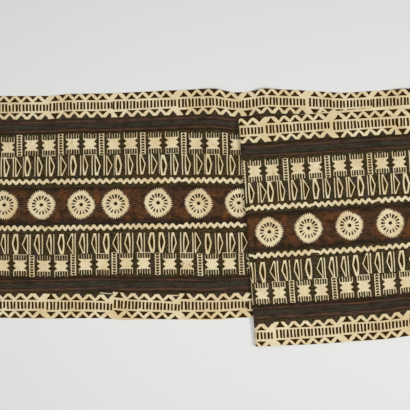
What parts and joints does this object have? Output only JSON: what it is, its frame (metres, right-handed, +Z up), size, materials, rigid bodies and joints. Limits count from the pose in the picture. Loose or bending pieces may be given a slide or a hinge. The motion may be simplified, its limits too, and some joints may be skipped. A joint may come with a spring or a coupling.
{
  "type": "tapa bark cloth",
  "caption": "Long strip of stencilled bark cloth lying flat and folded back on itself in loose layers, to spread, hang, wear or use as a table runner.",
  "frame": {"origin": "on the surface under the middle of the folded cloth's bounding box", "axes": "+X along the strip from its single layer towards its folded part, +Y across it towards the far edge, +Z up from the surface"},
  "size_m": [1.2956, 0.5162, 0.0119],
  "materials": {
    "bark_cloth": "beaten bark, matt, stencilled in near-black and brown dye on one face, bare on the other"
  },
  "bodies": {
    "root": {"bark_cloth": "bark_cloth"}
  },
  "joints": []
}
